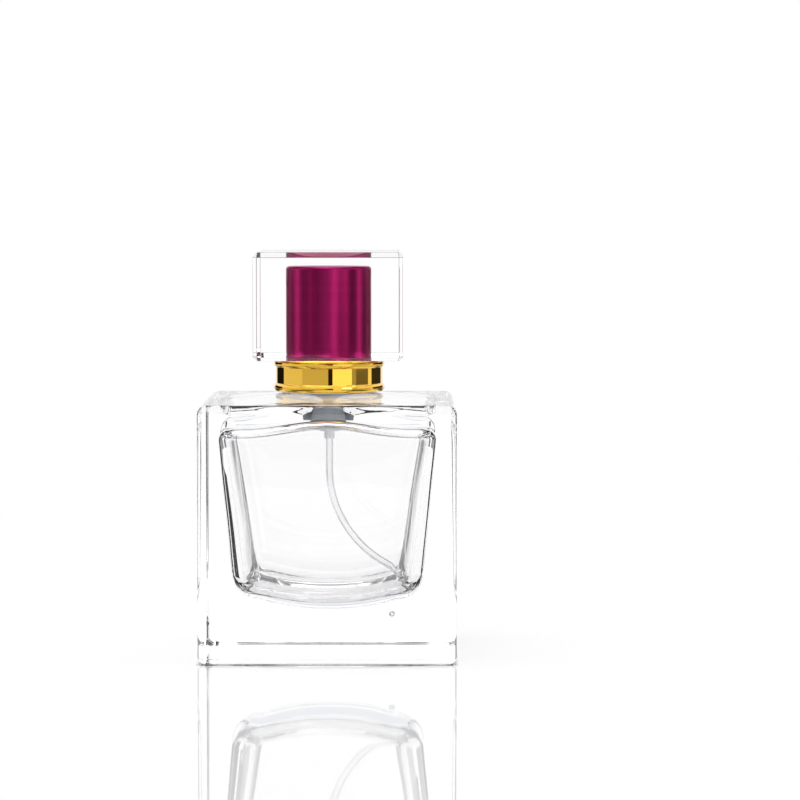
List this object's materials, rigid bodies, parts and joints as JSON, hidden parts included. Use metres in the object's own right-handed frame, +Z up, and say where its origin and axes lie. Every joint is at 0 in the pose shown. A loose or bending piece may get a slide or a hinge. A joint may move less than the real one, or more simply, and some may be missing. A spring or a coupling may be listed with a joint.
{
  "type": "aftershave bottle",
  "caption": "Heavy square clear glass aftershave bottle with a tapering inner cavity, gold collar, crimped spray pump and a clear block cap over a magenta sleeve.",
  "frame": {"origin": "middle of the flask's flat base", "axes": "+Z up along the pump's axis, -Y to the front, where the nozzle faces, +X to the right"},
  "size_m": [0.06, 0.06, 0.095],
  "materials": {
    "clear_glass": "clear soda-lime glass, fire-polished outside",
    "clear_acrylic": "clear moulded acrylic, polished, chamfered edges",
    "magenta_aluminium": "magenta anodised, satin brushed",
    "gold_aluminium": "gold anodised, mirror polished",
    "silver_aluminium": "bright anodised, lightly brushed",
    "white_plastic": "white moulded polypropylene",
    "natural_plastic": "natural moulded acetal",
    "tube_plastic": "translucent extruded polyethylene",
    "dark_rubber": "black elastomer",
    "spring_steel": "stainless steel"
  },
  "bodies": {
    "bottle": {"glass_bottle": "clear_glass", "neck_gasket": "dark_rubber", "crimp_ferrule": "silver_aluminium", "collar_sleeve": "silver_aluminium", "gold_collar": "gold_aluminium", "collar_insert": "white_plastic", "pump_housing": "natural_plastic", "housing_closure": "natural_plastic", "dip_tube": "tube_plastic", "return_spring": "spring_steel"},
    "stem": {"pump_stem": "natural_plastic", "outlet_spring": "spring_steel"},
    "piston": {"pump_piston": "white_plastic"},
    "inlet_valve": {"inlet_ball": "spring_steel"},
    "actuator": {"actuator_core": "white_plastic", "actuator_shell": "silver_aluminium", "nozzle_insert": "white_plastic"},
    "cap": {"cap_block": "clear_acrylic", "cap_sleeve": "magenta_aluminium", "cap_liner": "white_plastic"}
  },
  "joints": [
    {"name": "pump_press", "type": "slide", "parent": "bottle", "child": "stem", "axis": [0, 0, -1], "range_m": [0, 0.0036], "stiffness_N_per_m": 2200, "springref_m": -0.003, "deforming": ["return_spring"]},
    {"name": "actuator_turn", "type": "hinge", "parent": "stem", "child": "actuator", "pos_m": [0, 0, 0.0765], "axis": [0, 0, 1], "continuous": true},
    {"name": "piston_slip", "type": "slide", "parent": "stem", "child": "piston", "axis": [0, 0, 1], "range_m": [0, 0.0005], "stiffness_N_per_m": 1500, "springref_m": -0.001, "deforming": ["outlet_spring"]},
    {"name": "inlet_lift", "type": "slide", "parent": "bottle", "child": "inlet_valve", "axis": [0, 0, 1], "range_m": [0, 0.0004]},
    {"name": "cap_lift", "type": "slide", "parent": "bottle", "child": "cap", "axis": [0, 0, 1], "range_m": [0, 0.032]}
  ]
}
